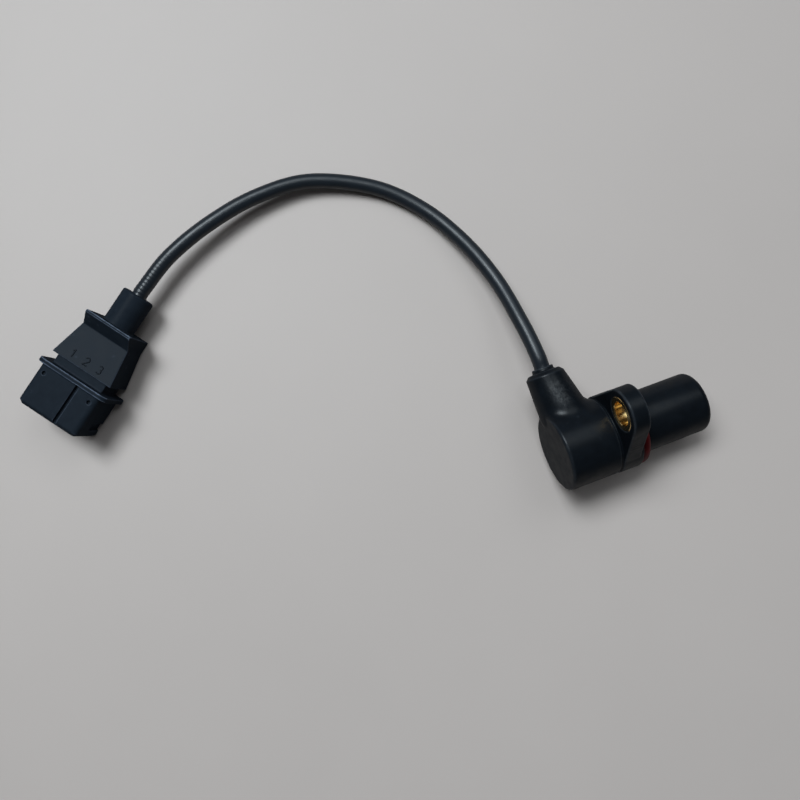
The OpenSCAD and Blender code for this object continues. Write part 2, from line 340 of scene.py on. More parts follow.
class Workshop:
    """Turns closed meshes into finished pieces."""

    STEP_IN, STEP_OUT = 0.5, -0.52
    EDGE_GAIN, EDGE_FLOOR = 7.0, 0.15

    @staticmethod
    def place(data: bpy.types.ID, name: str) -> Object:
        """Puts a mesh, curve, light or camera into the scene.

        Args:
            data: What the object shows.
            name: Name of the object.

        Returns:
            The object, at the scene's origin.
        """
        piece = bpy.data.objects.new(name, data)
        bpy.context.scene.collection.objects.link(piece)
        return piece

    @staticmethod
    def bake(piece: Object) -> Mesh:
        """Plain mesh of an object with its modifiers applied; the object is taken away.

        Args:
            piece: The object.

        Returns:
            The evaluated mesh.
        """
        bpy.context.view_layer.update()
        graph = bpy.context.evaluated_depsgraph_get()
        mesh = bpy.data.meshes.new_from_object(piece.evaluated_get(graph))
        bpy.data.objects.remove(piece)
        return mesh

    @classmethod
    def run(cls, mesh: Mesh, kind: str, **settings: object) -> Mesh:
        """Runs one modifier on a mesh.

        Args:
            mesh: The mesh.
            kind: Blender's name for the modifier.
            **settings: Properties of the modifier.

        Returns:
            The mesh that comes out.
        """
        piece = cls.place(mesh, "work")
        step = piece.modifiers.new("step", kind)
        for name, value in settings.items():
            setattr(step, name, value)
        return cls.bake(piece)

    @classmethod
    def cut(cls, solid: Mesh, cutters: Iterable[Shell]) -> Mesh:
        """Cuts shapes out of a solid, one after the other.

        Args:
            solid: Mesh that is cut.
            cutters: Shapes that are taken away.

        Returns:
            The mesh that is left.
        """
        for shape in cutters:
            tool = cls.place(shape.mesh("cutter"), "cutter")
            solid = cls.run(solid, "BOOLEAN", operation="DIFFERENCE", solver="EXACT", object=tool)
            bpy.data.objects.remove(tool)
        return solid

    @classmethod
    def mould(cls, solid: Mesh, voxel: float, passes: int) -> Mesh:
        """Runs overlapping solids together and softens the edges, as a mould tool leaves them.

        Args:
            solid: Mesh of one or more closed solids, in millimetres.
            voxel: Fineness of the new mesh, in millimetres.
            passes: Number of smoothing passes.

        Returns:
            The moulded mesh.
        """
        mesh = cls.run(solid, "REMESH", mode="VOXEL", voxel_size=voxel, use_smooth_shade=True)
        cls.relax(mesh, passes)
        return mesh

    @classmethod
    def relax(cls, mesh: Mesh, passes: int, near: Shares | None = None) -> None:
        """Smooths a dense mesh, all of it without shrinking or one region into a fillet.

        Args:
            mesh: Mesh that is changed in place.
            passes: Number of passes, each a step in and, without a region, a step out.
            near: How much each point belongs to the region that becomes a fillet, from 0 to 1.
        """
        net = Net(mesh)
        points = net.read()
        weight = np.ones((net.count, 1)) if near is None else near(points)[:, None]
        pulls = (cls.STEP_IN, cls.STEP_OUT) if near is None else (cls.STEP_IN,)
        for pull in pulls * passes:
            mean = np.stack([net.mean(points[:, k]) for k in range(3)], 1)
            points = points + pull * weight * (mean - points)
        mesh.vertices.foreach_set("co", points.ravel())
        mesh.update()

    @classmethod
    def mark_edges(cls, mesh: Mesh, blur: int, rub_and_highlight: Shares | None = None) -> None:
        """Keeps how far each point stands out from its neighbours, as the attribute edge.

        Args:
            mesh: Dense mesh that gets the attribute, from 0 on flats to 1 on outer edges.
            blur: Number of passes that spread the value.
            rub_and_highlight: Share of the lighter edge colour at each point, for worn edges and
                painted highlight, from 0 to 1; without it all edges get it alike.
        """
        net = Net(mesh)
        points, normals = net.read(), net.read("normal")
        gap = points[net.a] - points[net.b]
        gap /= np.linalg.norm(gap, axis=1)[:, None] + 1e-12
        out = net.gather((gap * normals[net.a]).sum(1), (-gap * normals[net.b]).sum(1))
        value = np.clip(out / net.share * cls.EDGE_GAIN - cls.EDGE_FLOOR, 0, 1)
        for _ in range(blur):
            value = 0.5 * value + 0.5 * net.mean(value)
        if rub_and_highlight is not None:
            value = value * rub_and_highlight(points)
        net.keep("edge", np.clip(value, 0, 1))

    @classmethod
    def finish(
        cls, mesh: Mesh, name: str, where: Placement, material: Material, slot: str,
        edge: Edge = Edge.SOFT,
    ) -> Object:
        """Places a mesh in the shared frame and dresses it.

        Args:
            mesh: Mesh in the sub-assembly's millimetres.
            name: Name of the piece.
            where: Place of the sub-assembly.
            material: Material of the piece.
            slot: Name of the record's material slot; not used.
            edge: How the mesh's edges are shaded.

        Returns:
            The finished piece, riding on the part's body.
        """
        mesh.transform(where.matrix())
        mesh.name = name
        mesh.shade_smooth()
        if edge is not Edge.SOFT:
            mesh.set_sharp_from_angle(angle=math.radians(edge.value))
        mesh.materials.clear()
        mesh.materials.append(material)
        piece = cls.place(mesh, name)
        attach(piece, BODY)
        LOG.info("%s: %d faces", name, len(mesh.polygons))
        return piece


class Nodes:
    """Short hand for a node tree's nodes and links."""

    def __init__(self, tree: bpy.types.NodeTree) -> None:
        """Starts on an empty tree."""
        self.tree = tree
        tree.nodes.clear()

    @classmethod
    def group(
        cls, name: str, kind: str, ins: dict[str, str], outs: dict[str, str]
    ) -> tuple[Nodes, Node, Node]:
        """Makes an empty node group with its sockets.

        Args:
            name: Name of the group.
            kind: Shader or Geometry.
            ins: Kind of value that each input takes, by the input's name.
            outs: Kind of value that each output gives, by the output's name.

        Returns:
            The tree, its input node and its output node.
        """
        made = bpy.data.node_groups.new(name, f"{kind}NodeTree")
        for side, sockets in (("INPUT", ins), ("OUTPUT", outs)):
            for label, value in sockets.items():
                made.interface.new_socket(label, in_out=side, socket_type=f"NodeSocket{value}")
        tree = cls(made)
        return tree, tree.add("NodeGroupInput"), tree.add("NodeGroupOutput")

    def put(self, socket: NodeSocket, value: object) -> None:
        """Links an output to a node's input, or sets the input to a plain value.

        Args:
            socket: The input.
            value: An output socket or a plain value.
        """
        if isinstance(value, NodeSocket):
            self.tree.links.new(value, socket)
        else:
            socket.default_value = value

    def feed(self, node: Node, **sockets: object) -> Node:
        """Links or sets a node's inputs, named with _ for a space.

        Args:
            node: The node.
            **sockets: For each input, an output socket that feeds it or a plain value.

        Returns:
            The same node.
        """
        for name, value in sockets.items():
            self.put(node.inputs[name.replace("_", " ")], value)
        return node

    def add(self, kind: str, settings: dict[str, object] | None = None, **sockets: object) -> Node:
        """Adds a node.

        Args:
            kind: Blender's name for the node.
            settings: Properties of the node.
            **sockets: For each input, an output socket that feeds it or a plain value.

        Returns:
            The node.
        """
        node = self.tree.nodes.new(kind)
        for name, value in (settings or {}).items():
            setattr(node, name, value)
        return self.feed(node, **sockets)

    def noise(self, where: NodeSocket, scale: NodeSocket, detail: float, rough: float) -> NodeSocket:
        """Noise at a place, with its scale, its number of finer layers and their strength."""
        node = self.add("ShaderNodeTexNoise", Vector=where, Scale=scale, Detail=detail, Roughness=rough)
        return node.outputs["Fac"]

    def span(
        self, value: NodeSocket, to: Flat = (0.0, 1.0), low: float = 0.0, high: float = 1.0
    ) -> NodeSocket:
        """Maps one range of values to another, held at its ends.

        Args:
            value: Output that is mapped.
            to: Range of the result.
            low: Value that becomes the first of to.
            high: Value that becomes the second of to.

        Returns:
            The mapped output.
        """
        node = self.add("ShaderNodeMapRange", Value=value, From_Min=low, From_Max=high)
        return self.feed(node, To_Min=to[0], To_Max=to[1]).outputs["Result"]

    def sums(self, kind: str, a: object, b: object) -> NodeSocket:
        """Sum or product of two values, held between 0 and 1.

        Args:
            kind: ADD, MULTIPLY or another of the Math node's operations.
            a: Output or number.
            b: Output or number.

        Returns:
            The result.
        """
        node = self.add("ShaderNodeMath", {"operation": kind, "use_clamp": True})
        for socket, value in zip(node.inputs, (a, b)):
            self.put(socket, value)
        return node.outputs["Value"]

    def blend(self, share: NodeSocket, a: NodeSocket | Colour, b: Colour) -> NodeSocket:
        """Mixes two colours.

        Args:
            share: Output that says how much of the second colour there is.
            a: First colour, as an output or as numbers.
            b: Second colour.

        Returns:
            The mixed colour.
        """
        node = self.add("ShaderNodeMix", {"data_type": "RGBA"})
        first = a if isinstance(a, NodeSocket) else (*a, 1.0)
        for place, value in ((0, share), (6, first), (7, (*b, 1.0))):
            self.put(node.inputs[place], value)
        return node.outputs[2]


class Effects:
    """Shader node groups that several finishes share."""

    def __init__(self) -> None:
        """Builds each group once."""
        self.grain = self._grain()
        self.wear_and_highlight = self._wear_and_highlight()

    @staticmethod
    def _grain() -> bpy.types.NodeTree:
        """Fine grain, broad mottle and dust specks of a moulded or drawn surface.

        Returns:
            The group.
        """
        tree, start, end = Nodes.group(
            "surface_grain", "Shader", {"Vector": "Vector", "Grain": "Float", "Mottle": "Float"},
            {"Height": "Float", "Mottle": "Float", "Speck": "Float"},
        )
        where, mottle = start.outputs["Vector"], start.outputs["Mottle"]
        fine = tree.noise(where, start.outputs["Grain"], 3.0, 0.6)
        broad = tree.noise(where, mottle, 4.0, 0.62)
        dust = tree.add("ShaderNodeTexVoronoi", Vector=where, Scale=mottle, Randomness=1.0)
        dots = tree.span(dust.outputs["Distance"], (1.0, 0.0), 0.05, 0.2)
        speck = tree.sums("MULTIPLY", dots, tree.span(broad, low=0.5, high=0.62))
        tree.feed(end, Height=fine, Speck=speck, Mottle=tree.span(broad, low=0.36, high=0.64))
        return tree.tree

    @staticmethod
    def _wear_and_highlight() -> bpy.types.NodeTree:
        """Mask of outer edges, broken up by noise, for worn edges and painted edge highlights.

        Returns:
            The group.
        """
        tree, start, end = Nodes.group(
            "edge_wear_and_highlight", "Shader", {"Vector": "Vector", "Edge": "Float", "Breakup": "Float"},
            {"Mask": "Float"},
        )
        patch = tree.noise(start.outputs["Vector"], start.outputs["Breakup"], 3.0, 0.6)
        broken = tree.span(patch, (0.35, 1.0), 0.3, 0.66)
        line = tree.span(start.outputs["Edge"], low=0.06, high=0.6)
        tree.feed(end, Mask=tree.sums("MULTIPLY", line, broken))
        return tree.tree


@dataclass(frozen=True)
class Finish:
    """Common parts of a finish.

    Attributes:
        name: Name of the material.
    """

    name: str

    def start(self) -> tuple[Material, Nodes, Node, NodeSocket]:
        """Empty material with its shader and its Object coordinates.

        Returns:
            The material, its tree, its shader and the coordinates.
        """
        material = bpy.data.materials.new(self.name)
        material.use_nodes = True
        tree = Nodes(material.node_tree)
        shader = tree.add("ShaderNodeBsdfPrincipled")
        tree.add("ShaderNodeOutputMaterial", Surface=shader.outputs["BSDF"])
        return material, tree, shader, tree.add("ShaderNodeTexCoord").outputs["Object"]

    @staticmethod
    def bump(tree: Nodes, height: NodeSocket, strength: float, depth: float) -> NodeSocket:
        """Normal bent by a height, with the share of it that shows and its depth in millimetres."""
        node = tree.add("ShaderNodeBump", Height=height, Strength=strength, Distance=depth * MM)
        return node.outputs["Normal"]

    @staticmethod
    def use(tree: Nodes, group: bpy.types.NodeTree, **sockets: object) -> Node:
        """Places a shared group in a material with its own values."""
        return tree.add("ShaderNodeGroup", {"node_tree": group}, **sockets)


@dataclass(frozen=True)
class Moulded(Finish):
    """Semi-matte moulded plastic with grain, mottle, a thin smooth skin and lighter outer edges, which
    are worn edges and, where a finish asks for it, a painted highlight.

    Attributes:
        deep: Colour of the darker patches.
        light: Colour of the lighter patches.
        rub_and_highlight: Colour of dust and of lighter outer edges: worn edges, and on the plug a
            painted highlight along the rim's and rib's top edges.
        rough: Roughness of darker and of lighter patches.
        mottle: Patches per metre.
        grain: Grains per metre.
        relief: Depth of the grain, in millimetres.
        bite: Share of the grain that shows.
        wear_and_highlight: Share of the edge colour on an outer edge, worn and painted highlight alike;
            at 0 there is no dust either.
        dust: Share of the edge colour in a speck of dust.
        breakup: Patches per metre that break up the wear.
        film: Share of the smooth skin that the mould leaves, which gives the shine.
        film_swing: How much that share changes from patch to patch.
        film_rough: Roughness of that skin.
        polish: Share of further skin where the mesh says the mould was polished.
        polish_mottle: Patches of that skin per metre.
    """

    deep: Colour = (0.0034, 0.0046, 0.0064)
    light: Colour = (0.0054, 0.0072, 0.0098)
    rub_and_highlight: Colour = (0.062, 0.071, 0.083)
    rough: Flat = (0.29, 0.40)
    mottle: float = 320.0
    grain: float = 5200.0
    relief: float = 0.02
    bite: float = 0.5
    wear_and_highlight: float = 0.5
    dust: float = 0.10
    breakup: float = 700.0
    film: float = 0.2
    film_swing: float = 0.2
    film_rough: float = 0.30
    polish: float = 0.0
    polish_mottle: float = 1280.0

    def build(self, effects: Effects) -> Material:
        """Makes the material.

        Args:
            effects: The shared node groups.

        Returns:
            The material.
        """
        material, tree, shader, where = self.start()
        grain = self.use(tree, effects.grain, Vector=where, Grain=self.grain, Mottle=self.mottle)
        patches = grain.outputs["Mottle"]
        colour = tree.blend(patches, self.deep, self.light)
        # Lighter outer edges: worn edges, and on the plug a painted highlight on the rim's and rib's
        # top edges.
        if self.wear_and_highlight > 0:
            edge = tree.add("ShaderNodeAttribute", {"attribute_name": "edge"}).outputs["Fac"]
            worn_and_highlit = self.use(tree, effects.wear_and_highlight, Vector=where, Edge=edge, Breakup=self.breakup)
            specks, edges = grain.outputs["Speck"], worn_and_highlit.outputs["Mask"]
            for spots, share in ((specks, self.dust), (edges, self.wear_and_highlight)):
                colour = tree.blend(tree.sums("MULTIPLY", spots, share), colour, self.rub_and_highlight)
        swing = self.film_swing
        film = tree.span(patches, ((1 + swing) * self.film, (1 - swing) * self.film))
        if self.polish > 0:
            shine = tree.add("ShaderNodeAttribute", {"attribute_name": "polish"}).outputs["Fac"]
            bright = self.use(tree, effects.grain, Vector=where, Mottle=self.polish_mottle)
            patchy = tree.sums("MULTIPLY", shine, bright.outputs["Mottle"])
            film = tree.sums("ADD", film, tree.sums("MULTIPLY", patchy, self.polish))
        tree.feed(
            shader, Base_Color=colour, Specular_IOR_Level=0.0,
            Coat_Weight=film, Coat_Roughness=self.film_rough,
            Roughness=tree.span(patches, self.rough),
            Normal=self.bump(tree, grain.outputs["Height"], self.bite, self.relief),
        )
        return material


@dataclass(frozen=True)
class Rubber(Moulded):
    """Soft matte rubber or cable jacket, which doesn't rub pale."""

    deep: Colour = (0.056, 0.0022, 0.0032)
    light: Colour = (0.092, 0.0042, 0.0054)
    rough: Flat = (0.42, 0.60)
    mottle: float = 500.0
    grain: float = 3800.0
    relief: float = 0.03
    bite: float = 0.4
    wear_and_highlight: float = 0.0
    film: float = 0.3
    film_swing: float = 0.15
    film_rough: float = 0.40


@dataclass(frozen=True)
class Metal(Finish):
    """Bare metal with fine working lines and slight tarnish.

    Attributes:
        bright: Colour of clean metal.
        dull: Colour of tarnished metal.
        rough: Roughness of clean and of tarnished metal.
        texture: Kind of working lines.
        lines: Working lines per metre, before their stretch.
        relief: Depth of the lines, in millimetres.
        bite: Share of the lines that shows.
        tarnish: Patches of tarnish per metre.
        stain: Share of the dull colour in a patch.
    """

    bright: Colour = (0.80, 0.58, 0.26)
    dull: Colour = (0.46, 0.28, 0.10)
    rough: Flat = (0.13, 0.26)
    texture: Texture = Texture.TURNED
    lines: float = 1600.0
    relief: float = 0.015
    bite: float = 0.3
    tarnish: float = 500.0
    stain: float = 0.75

    def build(self, effects: Effects) -> Material:
        """Makes the material.

        Args:
            effects: The shared node groups.

        Returns:
            The material.
        """
        material, tree, shader, where = self.start()
        drawn = tree.add("ShaderNodeMapping", Vector=where, Scale=self.texture.value)
        cut = self.use(tree, effects.grain, Vector=drawn.outputs["Vector"], Grain=self.lines)
        patch = self.use(tree, effects.grain, Vector=where, Mottle=self.tarnish)
        stained = tree.sums("MULTIPLY", patch.outputs["Mottle"], self.stain)
        tree.feed(
            shader, Base_Color=tree.blend(stained, self.bright, self.dull), Metallic=1.0,
            Roughness=tree.span(patch.outputs["Mottle"], self.rough),
            Normal=self.bump(tree, cut.outputs["Height"], self.bite, self.relief),
        )
        return material


@dataclass(frozen=True)
class FloorPaint(Finish):
    """Plain pale surface under the part.

    Attributes:
        pale: Colour of the surface.
        paler: Colour of its lighter parts.
        rough: Roughness of the surface.
        mottle: Patches per metre.
        grain: Grains per metre.
        relief: Depth of the grain, in millimetres.
        bite: Share of the grain that shows.
    """

    pale: Colour = (0.470, 0.410, 0.380)
    paler: Colour = (0.487, 0.425, 0.394)
    rough: float = 0.62
    mottle: float = 6.0
    grain: float = 900.0
    relief: float = 0.05
    bite: float = 0.1

    def build(self, effects: Effects) -> Material:
        """Makes the material.

        Args:
            effects: The shared node groups.

        Returns:
            The material.
        """
        material, tree, shader, where = self.start()
        grain = self.use(tree, effects.grain, Vector=where, Grain=self.grain, Mottle=self.mottle)
        tree.feed(
            shader, Base_Color=tree.blend(grain.outputs["Mottle"], self.pale, self.paler),
            Roughness=self.rough,
            Normal=self.bump(tree, grain.outputs["Height"], self.bite, self.relief),
        )
        return material


@dataclass
class Finishes:
    """Every material of the scene.

    Attributes:
        effects: The shared node groups.
    """

    effects: Effects = field(default_factory=Effects)

    def __post_init__(self) -> None:
        """Builds each material once."""
        e = self.effects
        self.head = Moulded("head_plastic", wear_and_highlight=0.40, film=0.26, polish=0.70).build(e)
        # The plug's pale bluish edge colour, laid mostly on the rim's and rib's top edges, paints the
        # highlight along those edges as well as worn edges.
        self.plug = Moulded(
            "plug_plastic", deep=(0.0100, 0.0138, 0.0196), light=(0.0131, 0.0176, 0.0240),
            rub_and_highlight=(0.160, 0.197, 0.268), rough=(0.32, 0.38), wear_and_highlight=0.75, film=0.045, film_rough=0.36,
        ).build(e)
        # A darker copy of the plug's plastic: the numbers' dark tone is painted shade round their
        # raised strokes.
        self.numbers = Moulded(
            "number_plastic_painted_shade", deep=(0.0054, 0.0074, 0.0104), light=(0.0074, 0.0098, 0.0134), film=0.08,
        ).build(e)
        self.spool = Moulded(
            "spool_plastic", deep=(0.04, 0.04, 0.045), light=(0.06, 0.06, 0.065),
        ).build(e)
        self.lead = Moulded(
            "lead_plastic", deep=(0.06, 0.055, 0.05), light=(0.09, 0.085, 0.08),
        ).build(e)
        self.cable = Rubber(
            "cable_jacket_black", deep=(0.0078, 0.0106, 0.0146), light=(0.0118, 0.0156, 0.0206),
            rough=(0.34, 0.44), mottle=420.0, relief=0.015, film=0.66, film_rough=0.36,
        ).build(e)
        self.ring = Rubber("ring_rubber_red").build(e)
        self.brass = Metal("bush_brass").build(e)
        self.tinned = Metal(
            "tinned_strip", bright=(0.66, 0.66, 0.65), dull=(0.45, 0.45, 0.45),
            rough=(0.24, 0.40), texture=Texture.DRAWN,
        ).build(e)
        self.iron = Metal(
            "soft_iron", bright=(0.46, 0.46, 0.47), dull=(0.30, 0.30, 0.31), rough=(0.3, 0.5),
        ).build(e)
        self.magnet = Metal(
            "cast_magnet", bright=(0.20, 0.20, 0.21), dull=(0.12, 0.12, 0.13), rough=(0.5, 0.7),
        ).build(e)
        self.copper = Metal(
            "coil_copper", bright=(0.62, 0.27, 0.12), dull=(0.40, 0.15, 0.06), rough=(0.3, 0.45),
        ).build(e)
        self.floor = FloorPaint("pale_floor").build(e)


@dataclass
class SensorHead:
    """Sensor head: housing, nose sleeve, bush and sealing ring, drawn about the nose's axis along X.

    Station 0 is the front face of the ear.
    """

    finishes: Finishes
    nose_r: float = 9.0
    nose_length: float = 25.2
    nose_round: float = 2.0
    flange_r: float = 11.8
    flange_back: float = -5.0
    shoulder: float = 1.2
    shoulder_round: float = 0.25
    bolt_distance: float = 18.0
    ear_r: float = 7.2
    ear_lean: float = 17.0
    ear_inset: float = 0.2
    ear_round: float = 0.3
    body_r: float = 11.6
    rear_face: float = -20.8
    body_round: float = 0.8
    seam_width: float = 0.7
    seam_depth: float = 0.5
    seam_round: float = 0.4
    bush_r: float = 5.0
    seat_bevel: float = 0.12
    hole_r: float = 3.5
    hole_bevel: float = 0.2
    bush_rim: float = 0.1
    bush_proud: float = 0.15
    ring_section: float = 2.7
    ring_seam: float = 0.03
    ring_seam_width: float = 0.10
    seat_r: float = 8.8
    seat_play: float = 0.2
    sleeve_lap: float = 1.0
    outlet_inset: float = 5.2
    outlet_start: float = 6.5
    outlet_reach: float = 22.3
    outlet_r: float = 5.7
    outlet_flare: float = 0.134
    flare_start: float = 8.5
    sink_depth: float = 0.9
    sink_start: float = 10.5
    sink_length: float = 3.5
    mouth_chamfer: float = 1.1
    lip_r: float = 3.2
    lip_length: float = 2.4
    lip_round: float = 0.25
    mouth_r: float = 2.45
    cable_seat_r: float = 2.4
    mouth_depth: float = 2.0
    fillet_reach: float = 1.9
    voxel: float = 0.25

    def __post_init__(self) -> None:
        """Works out the resting pose: on the shoulder's lower edge and the nose's rounded end."""
        run = self.nose_length - self.nose_round - self.shoulder
        drop = self.flange_r - self.nose_r + self.nose_round
        tilt = math.atan2(drop, run) - math.asin(self.nose_round / math.hypot(run, drop))
        rise = self.flange_r * math.cos(tilt) + self.shoulder * math.sin(tilt)
        self.where = Placement((-2.0, -6.45, rise), Matrix.Rotation(tilt, 4, "Y"))
        self.outlet_x = self.rear_face + self.outlet_inset
        self.lip_end = self.outlet_reach + self.lip_length
        lean = math.radians(self.ear_lean)
        self.bolt = (self.bolt_distance * math.sin(lean), self.bolt_distance * math.cos(lean))

    def body_shell(self) -> Shell:
        """Turned part of the housing: shoulder, flange disc, fine seam behind it and body.

        Returns:
            The closed mesh.
        """
        seam, floor = self.flange_back - self.seam_width, self.body_r - self.seam_depth
        outline = [
            (self.rear_face, 0.0), (self.rear_face, self.body_r), (seam, self.body_r), (seam, floor),
            (self.flange_back, floor), (self.flange_back, self.flange_r),
            (self.shoulder, self.flange_r), (self.shoulder, 0.0),
        ]
        radii = [0, self.body_round, self.seam_round, 0, 0, 0, self.shoulder_round, 0]
        return lathe(rounded(outline, radii))

    def ear_ring(self, shrink: float, at: float, count: int) -> np.ndarray:
        """Outline of the ear and its flanks, seen from the bolt's axis.

        Args:
            shrink: Distance that the outline is drawn in.
            at: Station of the outline.
            count: Number of points.

        Returns:
            The outline's points, evenly spread in angle about the bolt's axis.
        """
        centre = np.array(self.bolt)
        sweep = np.linspace(0, 2 * math.pi, 721)
        ray = np.stack([np.cos(sweep), np.sin(sweep)], 1)
        small = centre + ray * (self.ear_r - shrink)
        large = ray * (self.flange_r - self.ear_inset - shrink)
        cloud = np.vstack([small, large]) - centre
        tips = [np.array([math.cos(a), math.sin(a)]) for a in full_turn(count)]
        return np.array([(at, *(centre + tip * self.hull_reach(cloud, tip))) for tip in tips])

    @staticmethod
    def hull_reach(cloud: np.ndarray, tip: np.ndarray) -> float:
        """Distance from the origin to the edge of a cloud's hull along one direction.

        Args:
            cloud: Points around the origin.
            tip: Unit vector of the direction.

        Returns:
            The distance.
        """
        side = np.array([-tip[1], tip[0]])
        turns = np.linspace(-1.5, 1.5, 241)
        normals = [tip * math.cos(turn) + side * math.sin(turn) for turn in turns]
        return min(float((cloud @ normal).max() / (tip @ normal)) for normal in normals)

    def ear_shell(self, count: int = 144) -> Shell:
        """Ear plate with the hole for the bush.

        Args:
            count: Number of points around the plate.

        Returns:
            The closed mesh.
        """
        back, front, soft, bevel = self.flange_back, 0.0, self.ear_round, self.seat_bevel
        across, up = np.cos(full_turn(count)), np.sin(full_turn(count))
        wide = self.bush_r + bevel
        hole = [
            np.stack([np.full(count, at), self.bolt[0] + r * across, self.bolt[1] + r * up], 1)
            for at, r in ((front, wide), (front - bevel, self.bush_r),
                          (back + bevel, self.bush_r), (back, wide))
        ]
        rim = [
            self.ear_ring(shrink, at, count)
            for shrink, at in ((soft, back), (0.0, back + soft), (0.0, front - soft), (soft, front))
        ]
        return loft(rim + hole, loop=True)

    def flare(self, y: np.ndarray) -> np.ndarray:
        """How much wider the outlet is at stations along it than at its mouth."""
        return self.outlet_flare * (self.outlet_reach - np.clip(y, self.flare_start, self.outlet_reach))

    def outlet_shell(self, count: int = 96) -> Shell:
        """Cable outlet: it widens towards the flange, with a chamfered mouth and a lip round the cable.

        Args:
            count: Number of points around the outlet.

        Returns:
            The closed mesh.
        """
        stations: list[Point] = []
        for y in np.linspace(self.outlet_start, self.outlet_reach, 28):
            grow = self.flare(y)
            under = min(1.0, max(0.0, (self.sink_start - y) / self.sink_length))
            stations.append((y, self.outlet_r + grow, grow + self.sink_depth * under**2))
        mouth, soft = self.outlet_reach + self.mouth_chamfer, self.lip_round
        stations += [(y, r, 0.0) for y, r in (
            (mouth, self.outlet_r - self.mouth_chamfer), (mouth, self.lip_r + soft),
            (mouth + soft, self.lip_r), (self.lip_end - soft, self.lip_r),
            (self.lip_end, self.lip_r - soft), (self.lip_end, self.mouth_r),
            (self.lip_end - self.mouth_depth, self.cable_seat_r),
        )]
        along, up = np.cos(full_turn(count)), np.sin(full_turn(count))
        return loft([
            np.stack([self.outlet_x + shift + r * along, np.full(count, y), r * up], 1)
            for y, r, shift in stations
        ])

    def outlet_root(self, points: np.ndarray) -> np.ndarray:
        """How near points are to the line where the outlet meets the body, from 0 to 1.

        Args:
            points: Points of the housing, one row each.

        Returns:
            The nearness of each point.
        """
        x, y, z = points.T
        grow = self.flare(y)
        to_body = np.hypot(y, z) - self.body_r
        to_outlet = np.hypot(x - self.outlet_x - grow, z) - self.outlet_r - grow
        near = np.exp(-((to_body / self.fillet_reach) ** 2))
        near = near * np.exp(-((to_outlet / self.fillet_reach) ** 2))
        rear_fade, flange_gap, flange_fade = 1.5, 0.9, 0.8
        from_rear = np.clip((x - self.rear_face) / rear_fade, 0, 1)
        from_flange = np.clip((self.flange_back - flange_gap - x) / flange_fade, 0, 1)
        return near * (from_rear * from_flange) * (y > 0)

    def outlet_top(self, points: np.ndarray) -> np.ndarray:
        """How much points lie on the outlet's upper side, which came out of the mould shinier.

        Args:
            points: Points of the housing, one row each.

        Returns:
            The share at each point, from 0 to 1.
        """
        x, y, z = points.T
        start, rise, end, fall = 11.5, 2.5, 21.5, 3.0
        height, shift, half = 3.0, 0.8, 3.2
        along = np.clip((y - start) / rise, 0, 1) * np.clip((end - y) / fall, 0, 1)
        across = np.exp(-(((x - self.outlet_x - shift) / half) ** 2))
        return along * np.clip(z / height, 0, 1) * across

    def build_housing(self) -> None:
        """Makes the housing as one moulding."""
        rough = (self.body_shell() + self.ear_shell() + self.outlet_shell()).mesh("housing_rough")
        mesh = Workshop.mould(rough, self.voxel, passes=5)
        Workshop.relax(mesh, passes=220, near=self.outlet_root)
        Workshop.mark_edges(mesh, blur=2)
        net = Net(mesh)
        net.keep("polish", self.outlet_top(net.read()))
        piece = Workshop.finish(
            mesh, "sensor_housing", self.where, self.finishes.head, "head_plastic"
        )
        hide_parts("housing")

    def build_nose(self) -> None:
        """Makes the nose sleeve with the sealing ring's seat."""
        root = self.shoulder - self.sleeve_lap
        seat_end = self.shoulder + self.ring_section + self.seat_play
        outline = [
            (root, 0.0), (root, self.seat_r), (seat_end, self.seat_r), (seat_end, self.nose_r),
            (self.nose_length, self.nose_r), (self.nose_length, 0.0),
        ]
        points = rounded(outline, [0, 0, 0.05, 0.08, self.nose_round, 0])
        mesh = lathe(points, turns=160).mesh("nose_rough")
        piece = Workshop.finish(
            mesh, "sensor_nose", self.where, self.finishes.head, "head_plastic", Edge.CRISP
        )
        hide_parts("nose_sleeve")

    def build_bush(self) -> None:
        """Makes the metal bush with chamfered ends."""
        back, front, bevel, rim = self.flange_back, self.bush_proud, self.hole_bevel, self.bush_rim
        ring = [
            (back, self.hole_r + bevel), (back, self.bush_r - rim), (back + rim, self.bush_r),
            (front - rim, self.bush_r), (front, self.bush_r - rim), (front, self.hole_r + bevel),
            (front - bevel, self.hole_r), (back + bevel, self.hole_r),
        ]
        shift = Matrix.Translation((0.0, *self.bolt))
        mesh = lathe(ring, loop=True).moved(shift).mesh("bush_rough")
        piece = Workshop.finish(
            mesh, "bolt_bush", self.where, self.finishes.brass, "bush_brass", Edge.CRISP
        )
        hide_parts("mounting_bush")

    def build_ring(self, count: int = 40) -> None:
        """Makes the sealing ring with its fine moulding seam.

        Args:
            count: Number of points around the ring's section.
        """
        middle = self.ring_section / 2
        loop = []
        for k in range(count):
            a = 2 * math.pi * k / count
            seam = self.ring_seam * math.exp(-((math.sin(a / 2) / self.ring_seam_width) ** 2))
            r = middle - self.ring_seam + seam
            loop.append((self.shoulder + middle + r * math.sin(a),
                         self.seat_r + middle + r * math.cos(a)))
        mesh = lathe(loop, loop=True).mesh("ring_rough")
        piece = Workshop.finish(mesh, "nose_seal_ring", self.where, self.finishes.ring, "ring_red")
        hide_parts("sealing_ring")

    def build(self) -> None:
        """Makes every piece of the head in order."""
        for step in (self.build_housing, self.build_nose, self.build_bush, self.build_ring):
            step()


